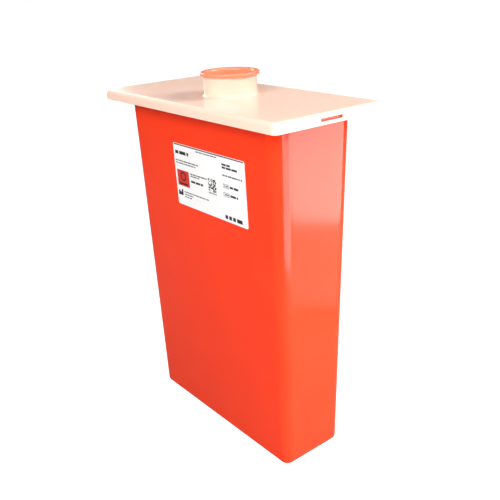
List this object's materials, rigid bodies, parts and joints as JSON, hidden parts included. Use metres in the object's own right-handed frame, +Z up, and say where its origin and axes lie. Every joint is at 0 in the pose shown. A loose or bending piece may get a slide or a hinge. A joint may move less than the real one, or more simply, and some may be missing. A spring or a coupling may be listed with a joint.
{
  "type": "sharps container",
  "caption": "Tall slim red sharps container: tapered bin, overhanging white lid with a round neck, recessed push-in cap and a front label.",
  "frame": {"origin": "centre of the foot, on the surface that the container stands on", "axes": "+X along the long side, -Y towards the labelled front, +Z up"},
  "size_m": [0.324, 0.1504, 0.4515],
  "materials": {
    "red_bin_plastic": "red translucent polypropylene, smooth and semi-gloss",
    "white_lid_plastic": "natural white polypropylene, smooth, slightly translucent",
    "red_cap_plastic": "red-orange translucent polypropylene, semi-gloss",
    "printed_label": null
  },
  "bodies": {
    "bin": {"container_body": "red_bin_plastic", "front_label": "printed_label"},
    "lid": {"lid": "white_lid_plastic"},
    "cap": {"neck_cap": "red_cap_plastic"}
  },
  "joints": [
    {"name": "lid_lift", "type": "slide", "parent": "bin", "child": "lid", "axis": [0, 0, 1], "range_m": [0, 0.08]},
    {"name": "cap_lift", "type": "slide", "parent": "lid", "child": "cap", "axis": [0, 0, 1], "range_m": [0, 0.06]}
  ]
}
